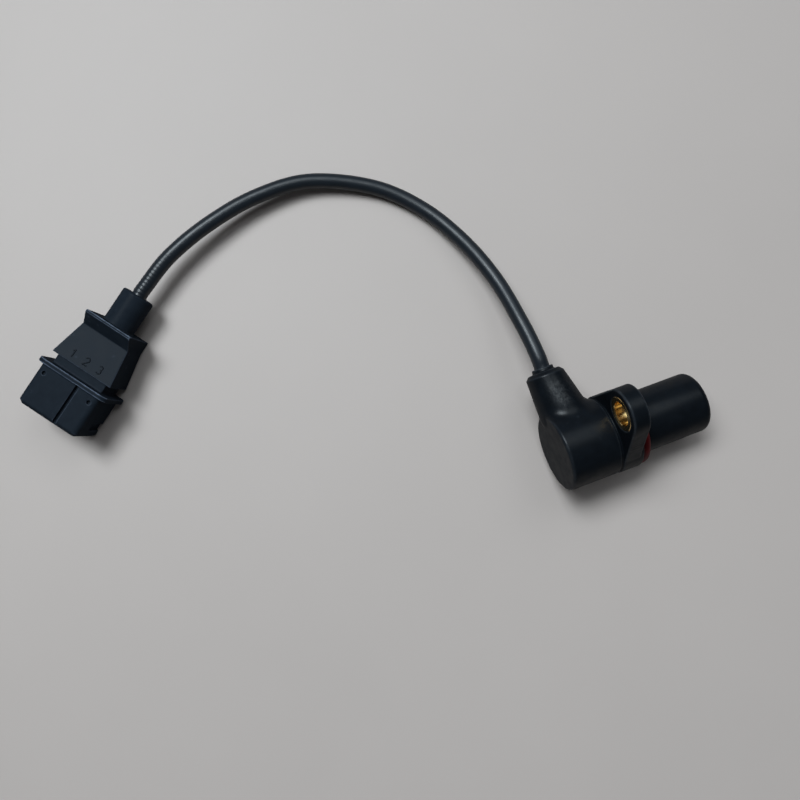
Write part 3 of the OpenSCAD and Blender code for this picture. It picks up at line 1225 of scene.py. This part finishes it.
@dataclass
class Plug:
    """Flat plug on the cable's end, drawn along X from its mating face, standing on its underside."""

    finishes: Finishes
    width: float = 20.2
    height: float = 16.0
    length: float = 13.2
    wall: float = 1.7
    rounding: float = 1.6
    front_rounding: float = 1.0
    chamfer: float = 1.0
    socket_depth: float = 11.4
    socket_round: float = 0.8
    rim_length: float = 1.4
    rim_reach: float = 1.7
    rim_top: float = 0.5
    rim_round: float = 2.4
    neck_length: float = 2.9
    neck_half: float = 8.5
    neck_low: float = 1.6
    neck_high: float = 13.4
    neck_round: float = 0.3
    block_back: float = 29.0
    block_low: float = 0.8
    block_half_front: float = 10.1
    block_half_back: float = 7.9
    block_top_front: float = 14.4
    block_top_back: float = 12.4
    block_round: float = 0.1
    rib_front: float = 32.5
    rib_back: float = 33.3
    rib_half: float = 7.6
    rib_low: float = 0.02
    rib_top: float = 16.55
    collar_end: float = 44.3
    collar_r: float = 4.9
    collar_round: float = 0.7
    collar_lap: float = 0.6
    mouth_r: float = 2.45
    cable_seat_r: float = 2.4
    mouth_depth: float = 2.0
    mid_z: float = 8.2
    pitch: float = 5.0
    blade_width: float = 2.8
    blade_tip: float = 3.5
    blade_end: float = 23.2
    blade_thickness: float = 0.8
    blade_round: float = 0.08
    tail_half: float = 0.7
    tail_length: float = 2.6
    key_offset: float = -2.5
    key_width: float = 1.1
    key_depth: float = 1.1
    mark_inset: float = 2.3
    mark_r: float = 0.65
    mark_depth: float = 0.9
    notch_front: float = 2.6
    notch_length: float = 2.4
    notch_depth: float = 0.9
    notch_top: float = 9.0
    digit_foot: float = 18.95
    digit_size: float = 2.4
    digit_spread: float = 0.92
    digit_r: float = 0.19
    cable_end: float = 32.0
    voxel: float = 0.15
    kept_faces: float = 0.4

    def __post_init__(self) -> None:
        """Sets the plug's place and the stations of the rim's and the neck's ends."""
        self.where = Placement((-158.0, 53.0, 0.0), Matrix.Rotation(math.radians(37.0), 4, "Z"))
        self.rim_end = self.length + self.rim_length
        self.block_front = self.rim_end + self.neck_length

    def shell_solid(self) -> Shell:
        """Outside of the mating shell with its rim and neck.

        Returns:
            The closed meshes, running through each other.
        """
        half, trim, lap, neck_lap = self.width / 2, self.chamfer, 0.2, 0.6
        body = loft([
            frame_section(half - trim, trim, self.height - trim, 0.0, self.front_rounding),
            frame_section(half, 0.0, self.height, trim, self.rounding),
            frame_section(half, 0.0, self.height, self.length + lap, self.rounding),
        ])
        rim = bar(
            half + self.rim_reach, 0.0, self.height + self.rim_top,
            self.length, self.rim_end, self.rim_round,
        )
        neck = bar(
            self.neck_half, self.neck_low, self.neck_high,
            self.length, self.block_front + neck_lap, self.neck_round,
        )
        return body + rim + neck

    def shell_cuts(self) -> list[Shell]:
        """Shapes that are cut out of the shell: socket, groove, dimples and side notches.

        Returns:
            The shapes, in the order of the cuts.
        """
        half, top, past = self.width / 2, self.height, 2.0
        socket = bar(
            half - self.wall, self.wall, top - self.wall, -past, self.socket_depth, self.socket_round
        )
        groove = bar(self.key_width / 2, top - self.key_depth, top + past, -past, self.length + 0.02)
        cuts = [socket, groove.moved(Matrix.Translation((0, self.key_offset, 0)))]
        pip_long = 2.5
        pip = lathe([(0, 0), (0, self.mark_r), (pip_long, self.mark_r), (pip_long, 0)], turns=40)
        upright = Matrix.Rotation(-math.pi / 2, 4, "Y")
        notch_half, notch_low, notch_end = 1.0, -1.0, self.notch_front + self.notch_length
        notch = bar(notch_half, notch_low, self.notch_top, self.notch_front, notch_end)
        notch_y = half - self.notch_depth + notch_half
        for side in (1, -1):
            across = side * (half - self.mark_inset)
            spot = (self.length - self.mark_inset, across, top - self.mark_depth)
            cuts.append(pip.moved(Matrix.Translation(spot) @ upright))
            cuts.append(notch.moved(Matrix.Translation((0, side * notch_y, 0))))
        return cuts

    def rim_wear_and_highlight(self, points: np.ndarray) -> np.ndarray:
        """Share of the lighter edge colour at points: all of it on the tops of the rim and the rib,
        where it is a painted highlight along their top edges as well as worn edges, little elsewhere.

        Args:
            points: Points of the plug, one row each.

        Returns:
            The share at each point.
        """
        s, _, z = points.T
        margin, rib_margin, below, little = 0.3, 0.4, 0.8, 0.3
        rim = (s > self.length - margin) & (s < self.rim_end + margin)
        rib = s > self.rib_front - rib_margin
        return np.where((rim | rib) & (z > self.height - below), 1.0, little)

    def moulding(self, solid: Mesh, name: str) -> Object:
        """Makes one of the plug's two plastic pieces.

        Args:
            solid: Mesh of the piece's solids.
            name: Name of the piece.

        Returns:
            The finished piece.
        """
        mesh = Workshop.mould(solid, self.voxel, passes=4)
        Workshop.mark_edges(mesh, blur=1, rub_and_highlight=self.rim_wear_and_highlight)
        mesh = Workshop.run(mesh, "DECIMATE", ratio=self.kept_faces)
        return Workshop.finish(mesh, name, self.where, self.finishes.plug, "plug_plastic")

    def build_shell(self) -> Object:
        """Makes the mating shell.

        Returns:
            The finished piece.
        """
        fused = Workshop.mould(self.shell_solid().mesh("shell_rough"), self.voxel, passes=0)
        piece = self.moulding(Workshop.cut(fused, self.shell_cuts()), "plug_mating_shell")
        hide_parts("plug_shell")
        return piece

    def build_backshell(self) -> Object:
        """Makes the moulding behind the shell: numbered block, rib and cable collar.

        Returns:
            The finished piece.
        """
        block = loft([frame_section(*sizes, self.block_round) for sizes in (
            (self.block_half_front, self.block_low, self.block_top_front, self.block_front),
            (self.block_half_back, self.block_low, self.block_top_back, self.block_back),
            (self.rib_half, self.rib_low, self.rib_top, self.rib_front),
            (self.rib_half, self.rib_low, self.rib_top, self.rib_back),
        )])
        root, seat = self.rib_back - self.collar_lap, self.collar_end - self.mouth_depth
        outline = [
            (root, 0.0), (root, self.collar_r), (self.collar_end, self.collar_r),
            (self.collar_end, self.mouth_r), (seat, self.cable_seat_r), (seat, 0.0),
        ]
        collar = lathe(rounded(outline, [0, 0, self.collar_round, 0, 0, 0]), turns=96)
        both = block + collar.moved(Matrix.Translation((0, 0, self.mid_z)))
        piece = self.moulding(both.mesh("backshell_rough"), "plug_backshell_moulding")
        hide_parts("plug_backshell")
        return piece

    def build_blades(self) -> Object:
        """Makes the contact blades from one blade, repeated across the socket.

        Returns:
            The finished piece.
        """
        w, t, tip, end = self.blade_width / 2, self.tail_half, self.blade_tip, self.blade_end
        tail, soft = end + self.tail_length, self.blade_round
        taper, narrow = 1.0, 0.5
        right = [(tip, w - narrow), (tip + taper, w), (end, w), (end, t), (tail, t)]
        outline = [(x, -y) for x, y in right] + right[::-1]
        low, high = self.mid_z - self.blade_thickness / 2, self.mid_z + self.blade_thickness / 2
        blade = loft([
            np.array([(x, y * squeeze, z) for x, y in outline])
            for z, squeeze in ((low, 0.97), (low + soft, 1.0), (high - soft, 1.0), (high, 0.97))
        ])
        first, step, look = (0.0, -self.pitch, 0.0), (0.0, self.pitch, 0.0), self.finishes.tinned
        mesh = Repeats.row(blade.mesh("blade_rough"), 3, first, step, look)
        piece = Workshop.finish(mesh, "contact_blades", self.where, look, "tinned", Edge.CRISP)
        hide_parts("blade_1", "blade_2", "blade_3")
        return piece

    @staticmethod
    def digit_strokes() -> list[list[Flat]]:
        """Strokes of the contact numbers, each on a unit high field, with 1 leftmost.

        Returns:
            The points of each number's stroke.
        """
        def sweep(cy: float, r: float, start: float, end: float) -> list[Flat]:
            """Part of a circle above the field's foot, as a stroke."""
            turns = np.linspace(math.radians(start), math.radians(end), 12)
            return [(r * math.cos(a), cy + r * math.sin(a)) for a in turns]

        one = [(-0.20, 0.74), (0.04, 1.0), (0.04, 0.0)]
        two = sweep(0.71, 0.29, 165, -38) + [(-0.30, 0.0), (0.32, 0.0)]
        three = sweep(0.76, 0.24, 150, -78) + sweep(0.26, 0.27, 78, -150)
        return [one, two, three]

    def build_digits(self) -> Object:
        """Makes the raised numbers on the block's sloped top.

        Returns:
            The finished piece.
        """
        drop = self.block_top_back - self.block_top_front
        slope = drop / (self.block_back - self.block_front)
        size, stretch = self.digit_size, 1.0 / math.hypot(1.0, slope)
        paths: list[list[Point]] = []
        for k, stroke in enumerate(self.digit_strokes()):
            side = self.pitch * (1 - k) * self.digit_spread
            path = []
            for x, y in stroke:
                s = self.digit_foot + y * size * stretch
                top = self.block_top_front + slope * (s - self.block_front)
                path.append((s, side - x * size, top))
            paths.append(path)
        look = self.finishes.numbers
        mesh = Repeats.beads(paths, self.digit_r, look)
        return Workshop.finish(mesh, "contact_numbers", self.where, look, "plug_plastic")

    def build(self) -> list[Object]:
        """Makes every piece of the plug in order."""
        steps = (self.build_shell, self.build_backshell, self.build_blades, self.build_digits)
        return [step() for step in steps]


class Repeats:
    """Geometry node trees for what repeats or follows a path."""

    @staticmethod
    def _start(name: str, **ins: str) -> tuple[Nodes, Node, Node]:
        """Empty tree with a geometry input, further inputs, a Material and a geometry output."""
        ins = {"Geometry": "Geometry", **ins, "Material": "Material"}
        return Nodes.group(name, "Geometry", ins, {"Geometry": "Geometry"})

    @staticmethod
    def _run(piece: Object, tree: Nodes, ends: tuple[Node, Node, NodeSocket], **values: object) -> Mesh:
        """Dresses what a tree makes, runs the tree on an object and keeps the plain mesh.

        Args:
            piece: Object that the tree works on; it is taken away.
            tree: The tree.
            ends: The tree's input node, its output node and the geometry that it makes.
            **values: Value of each named input.

        Returns:
            The mesh.
        """
        start, end, made = ends
        whole = tree.add("GeometryNodeRealizeInstances", Geometry=made)
        dressed = tree.add(
            "GeometryNodeSetMaterial", Geometry=whole.outputs["Geometry"],
            Material=start.outputs["Material"],
        )
        tree.feed(end, Geometry=dressed.outputs["Geometry"])
        step = piece.modifiers.new("repeat", "NODES")
        step.node_group = tree.tree
        for item in tree.tree.interface.items_tree:
            if item.in_out == "INPUT" and item.name in values:
                step[item.identifier] = values[item.name]
        return Workshop.bake(piece)

    @classmethod
    def row(cls, mesh: Mesh, count: int, first: Point, offset: Point, material: Material) -> Mesh:
        """Repeats a mesh along a straight row.

        Args:
            mesh: The mesh that repeats.
            count: Number of copies.
            first: Place of the first copy.
            offset: Step from one copy to the next.
            material: Material of the copies.

        Returns:
            One mesh with all copies.
        """
        tree, start, end = cls._start("piece_row", Count="Int", First="Vector", Offset="Vector")
        line = tree.add(
            "GeometryNodeMeshLine", {"mode": "OFFSET"}, Count=start.outputs["Count"],
            Start_Location=start.outputs["First"], Offset=start.outputs["Offset"],
        )
        copies = tree.add(
            "GeometryNodeInstanceOnPoints", Points=line.outputs["Mesh"],
            Instance=start.outputs["Geometry"],
        )
        ends = start, end, copies.outputs["Instances"]
        values = {"Count": count, "First": first, "Offset": offset, "Material": material}
        return cls._run(Workshop.place(mesh, "row"), tree, ends, **values)

    @classmethod
    def beads(cls, paths: Sequence[Sequence[Point]], radius: float, material: Material) -> Mesh:
        """Lays a round bead along each of several paths.

        Args:
            paths: Points of each path.
            radius: Radius of the bead.
            material: Material of the beads.

        Returns:
            One mesh with all beads.
        """
        curve = bpy.data.curves.new("bead_paths", "CURVE")
        curve.dimensions = "3D"
        for path in paths:
            line = curve.splines.new("POLY")
            line.points.add(len(path) - 1)
            for knot, p in zip(line.points, path):
                knot.co = (*p, 1.0)
        tree, start, end = cls._start("path_beads", Radius="Float")
        even = tree.add("GeometryNodeResampleCurve", Curve=start.outputs["Geometry"], Count=40)
        section = tree.add(
            "GeometryNodeCurvePrimitiveCircle", Resolution=12, Radius=start.outputs["Radius"]
        )
        bead = tree.add(
            "GeometryNodeCurveToMesh", Curve=even.outputs["Curve"],
            Profile_Curve=section.outputs["Curve"], Fill_Caps=True,
        )
        ends = start, end, bead.outputs["Mesh"]
        piece = Workshop.place(curve, "beads")
        return cls._run(piece, tree, ends, Radius=radius, Material=material)


@dataclass
class Cable:
    """Cable from inside the plug to inside the head's outlet.

    Attributes:
        finishes: The scene's materials.
        head: The sensor head.
        plug: The plug.
        radius: Radius of the jacket, in millimetres.
        sides: Number of divisions around the jacket.
        pace: Distance between neighbouring rings, in millimetres.
        rib_pitch: Distance between the fine ribs near the plug, in millimetres.
        rib_depth: Depth of the ribs, in millimetres.
        rib_fade: Length over which the ribs fade, in millimetres.
    """

    finishes: Finishes
    head: SensorHead
    plug: Plug
    radius: float = 2.3
    sides: int = 28
    pace: float = 0.23
    rib_pitch: float = 1.15
    rib_depth: float = 0.09
    rib_fade: float = 24.0

    def route(self) -> np.ndarray:
        """Points that the cable goes through, in metres.

        Returns:
            The route's points, from the plug to the head.
        """
        head, plug = self.head, self.plug
        out = [
            plug.where.point((s, 0.0, plug.mid_z))
            for s in (plug.cable_end, plug.collar_end - 4, plug.collar_end, plug.collar_end + 3)
        ]
        way = [
            (-0.110, 0.088, 0.008), (-0.096, 0.0935, 0.007), (-0.080, 0.097, 0.0055),
            (-0.063, 0.0965, 0.004), (-0.045, 0.0885, 0.0026), (-0.033, 0.077, 0.0026),
            (-0.025, 0.063, 0.0045), (-0.020, 0.048, 0.007), (-0.018, 0.032, 0.0115),
        ]
        home = [
            head.where.point((head.outlet_x, y, 0.0))
            for y in (head.lip_end + 4, head.lip_end, head.lip_end - 6, 8.0)
        ]
        return np.array([tuple(p) for p in (*out, *way, *home)])

    @staticmethod
    def smooth(points: np.ndarray, steps: int) -> np.ndarray:
        """Smooth curve through points.

        Args:
            points: The points.
            steps: Number of pieces between neighbouring points.

        Returns:
            Points along the curve.
        """
        last = len(points) - 1
        made = []
        for i in range(last):
            a, b, c, d = (points[k] for k in (max(i - 1, 0), i, i + 1, min(i + 2, last)))
            for t in np.arange(steps) / steps:
                made.append(0.5 * (2 * b + (c - a) * t + (2 * a - 5 * b + 4 * c - d) * t**2
                                   + (3 * b - a - 3 * c + d) * t**3))
        return np.array(made + [points[last]])

    @staticmethod
    def even(line: np.ndarray, pace: float) -> tuple[np.ndarray, np.ndarray]:
        """Spreads points evenly along a line.

        Args:
            line: Points of the line.
            pace: Distance wanted between neighbouring points.

        Returns:
            The points and their distances along the line.
        """
        run = np.concatenate([[0.0], np.cumsum(np.linalg.norm(np.diff(line, axis=0), axis=1))])
        at = np.linspace(0.0, run[-1], int(run[-1] / pace) + 1)
        return np.stack([np.interp(at, run, line[:, k]) for k in range(3)], 1), at

    def swell(self, at: np.ndarray) -> np.ndarray:
        """Radius of the jacket along the cable, with the fine ribs that fade away from the plug.

        Args:
            at: Distances from the cable's end in the plug, in metres.

        Returns:
            The radius at each distance, in metres.
        """
        past = at / MM - (self.plug.collar_end - self.plug.cable_end)
        share = np.clip(1 - past / self.rib_fade, 0, 1) * np.clip(past + 1, 0, 1)
        wave = (0.5 - 0.5 * np.cos(2 * math.pi * past / self.rib_pitch)) ** 2
        return MM * (self.radius - self.rib_depth * share * wave)

    def build(self, on_it: Sequence[Object]) -> None:
        """Args:
            on_it: Pieces that go with the cable; not used.
        """
        line, at = self.even(self.smooth(self.route(), 24), self.pace * MM)
        ahead = np.gradient(line, axis=0)
        ahead /= np.linalg.norm(ahead, axis=1)[:, None]
        side = np.cross(ahead, (0.0, 0.0, 1.0))
        side /= np.linalg.norm(side, axis=1)[:, None]
        up = np.cross(side, ahead)
        turns = full_turn(self.sides)
        made = loft([
            p + r * (np.cos(turns)[:, None] * s + np.sin(turns)[:, None] * u)
            for p, r, s, u in zip(line, self.swell(at), side, up)
        ])
        mesh = Shell(made.verts / MM, made.faces).mesh("cable_rough")
        whole = Placement((0.0, 0.0, 0.0), Matrix.Identity(4))
        piece = Workshop.finish(mesh, "sensor_cable", whole, self.finishes.cable, "cable_black")
        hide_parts("cable_jacket")
        exit_point = self.head.where.point((self.head.outlet_x, self.head.lip_end, 0.0))
        LOG.info("cable: %.1f mm long", at[-1] / MM)


@dataclass
class InnerWorks:
    """Pieces sealed inside the head and the plug, which keep their solids and get their finishes.

    Attributes:
        nodes: The frame's nodes by name.
    """

    nodes: dict[str, Object]

    def dress(self, finishes: Finishes) -> None:
        """Gives each sealed piece its material.

        Args:
            finishes: The scene's materials.
        """
        looks = (
            (finishes.iron, "pole_pin"), (finishes.magnet, "magnet"),
            (finishes.spool, "coil_bobbin"), (finishes.copper, "coil_winding"),
            (finishes.tinned, "coil_terminal_1", "coil_terminal_2", "plug_drain"),
            (finishes.lead, "head_lead_1", "head_lead_2", "plug_lead_1", "plug_lead_2"),
        )
        for material, *names in looks:
            for slot in (s for name in names for s in self.nodes[name].material_slots):
                slot.material = material
            LOG.info("%s: %s", material.name, ", ".join(names))


@dataclass
class Studio:
    """Floor, lights and camera.

    Attributes:
        eye: Camera's place, in metres.
        look: Direction that the camera looks in.
        up: Direction that is up in the picture.
        middle: Point that the lights face.
        tint: Colour of the lights.
        floor_half: Half of the floor's sides, in metres.
        floor_heights: Heights of the floor's underside and of its top, a hair under the part.
    """

    eye: Point = (-0.06266, 0.01521, 0.247)
    look: Point = (0.01276, 0.03526, -0.9993)
    up: Point = (0.34014, 0.93963, 0.0375)
    middle: Point = (-0.07, 0.04, 0.0)
    tint: Colour = (0.84, 0.94, 1.0)
    floor_half: float = 6.0
    floor_heights: Flat = (-0.01, -0.00002)

    def floor(self, finishes: Finishes) -> None:
        """Makes the plain pale surface.

        Args:
            finishes: The scene's materials.
        """
        r = self.floor_half
        plate = loft([
            np.array([(x, y, z) for x, y in ((-r, -r), (r, -r), (r, r), (-r, r))])
            for z in self.floor_heights
        ])
        mesh = plate.mesh("floor_plate")
        mesh.materials.append(finishes.floor)
        Workshop.place(mesh, "floor_plate")

    def light(self, name: str, kind: Source, at: Point, energy: float, **shape: object) -> None:
        """Makes a light that faces the middle of the scene.

        Args:
            name: Name of the light.
            kind: Kind of light.
            at: Point that it comes from, in metres.
            energy: A lamp's watts, or a sky light's watts per square metre.
            **shape: A lamp's sides in metres, or the angle that a sky light fills in radians.
        """
        light = bpy.data.lights.new(name, kind.value)
        light.energy, light.color = energy, self.tint
        for key, value in shape.items():
            setattr(light, key, value)
        piece = Workshop.place(light, name)
        piece.location = at
        aim = Vector(self.middle) - Vector(at)
        piece.rotation_euler = aim.to_track_quat("-Z", "Y").to_euler()

    def lights(self) -> None:
        """Makes the lights and the surroundings, which look paler than the glow that they give."""
        self.light("window_lamp", Source.LAMP, (0.96, 0.94, 1.74), 8.0, size=1.2)
        self.light("small_lamp", Source.LAMP, (0.20, 0.22, 2.00), 2.2, size=0.25)
        self.light("near_lamp", Source.LAMP, (-0.22, 0.34, 0.62), 2.5, size=0.26)
        self.light("ceiling_light", Source.SKY, (-0.28, 1.18, 2.00), 1.60, angle=math.radians(22.0))
        world = bpy.data.worlds.new("pale_room")
        world.use_nodes = True
        tree = Nodes(world.node_tree)
        glow = tree.add("ShaderNodeBackground", Color=(0.86, 0.93, 1.0, 1.0), Strength=0.07)
        seen = tree.add("ShaderNodeBackground", Color=(0.240, 0.238, 0.235, 1.0), Strength=1.0)
        ray, choice = tree.add("ShaderNodeLightPath"), tree.add("ShaderNodeMixShader")
        sources = (ray.outputs["Is Camera Ray"], glow.outputs[0], seen.outputs[0])
        for socket, output in zip(choice.inputs, sources):
            tree.put(socket, output)
        tree.add("ShaderNodeOutputWorld", Surface=choice.outputs[0])
        bpy.context.scene.world = world

    def camera(self) -> None:
        """Makes the camera at the photograph's view."""
        ahead, up = Vector(self.look).normalized(), Vector(self.up)
        right = ahead.cross(up).normalized()
        up = right.cross(ahead)
        lens = bpy.data.cameras.new("photo_camera")
        lens.sensor_width, lens.lens, lens.clip_start, lens.clip_end = 36.0, 36.0, 0.005, 20.0
        piece = Workshop.place(lens, "photo_camera")
        turn = Matrix((right, up, -ahead)).transposed().to_4x4()
        piece.matrix_world = Matrix.Translation(self.eye) @ turn
        bpy.context.scene.camera = piece

    def build(self, finishes: Finishes) -> None:
        """Makes the floor and the lights and sets the view transform.

        Args:
            finishes: The scene's materials.
        """
        self.floor(finishes)
        self.lights()
        bpy.context.scene.view_settings.view_transform = "Standard"


def main() -> None:
    """Builds the scene in order."""
    logging.basicConfig(level=logging.INFO, format="%(name)s: %(message)s")
    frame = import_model()
    studio, finishes = Studio(), Finishes()
    studio.camera()
    head, plug = SensorHead(finishes), Plug(finishes)
    InnerWorks(frame["nodes"]).dress(finishes)
    pieces = plug.build()
    leads = [frame["nodes"][name] for name in ("plug_lead_1", "plug_lead_2", "plug_drain")]
    Cable(finishes, head, plug).build([*pieces, *leads])
    head.build()
    studio.build(finishes)


if __name__ == "__main__":
    main()
